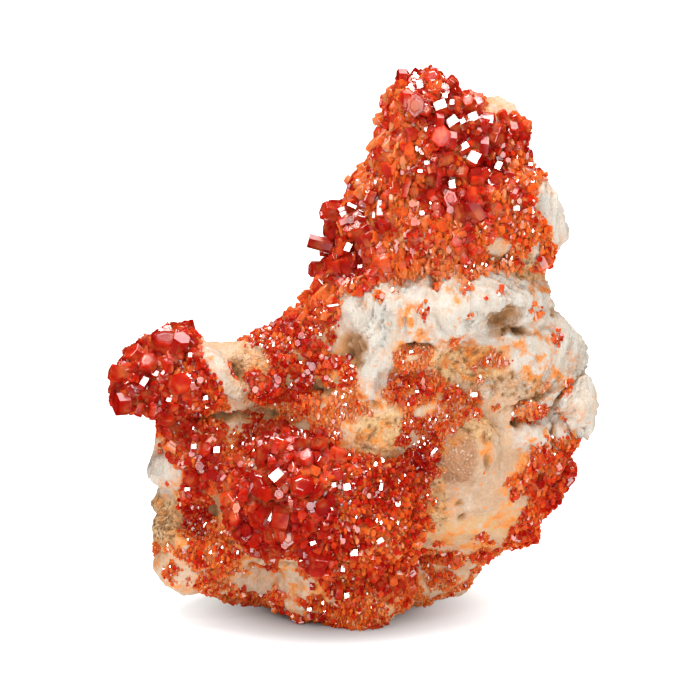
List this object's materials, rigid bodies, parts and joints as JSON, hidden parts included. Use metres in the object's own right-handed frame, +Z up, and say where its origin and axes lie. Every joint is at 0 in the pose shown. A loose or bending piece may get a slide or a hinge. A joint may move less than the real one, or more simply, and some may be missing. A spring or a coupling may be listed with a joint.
{
  "type": "vanadinite mineral specimen",
  "caption": "Natural hand specimen of red hexagonal vanadinite crystals crusted over a lumpy pale baryte matrix with a leaning peak and a side arm.",
  "frame": {"origin": "middle of the foot of the specimen's bounding box, on the surface it stands on", "axes": "+Z up along the specimen's height; -Y towards the face that bears the crystals, which is also the thin direction; +X to the right as that face is looked at"},
  "size_m": [0.0782, 0.0446, 0.0898],
  "materials": {
    "baryte": "dull white to cream baryte with tan porous and orange iron-stained patches",
    "vanadinite": "resinous to adamantine, deep red to orange red, slightly see-through at thin edges"
  },
  "bodies": {
    "root": {"matrix": "baryte", "peak_crystals": "vanadinite", "knob_crystals": "vanadinite", "saddle_crystals": "vanadinite", "belly_crystals": "vanadinite", "spur_crystals": "vanadinite"}
  },
  "joints": []
}
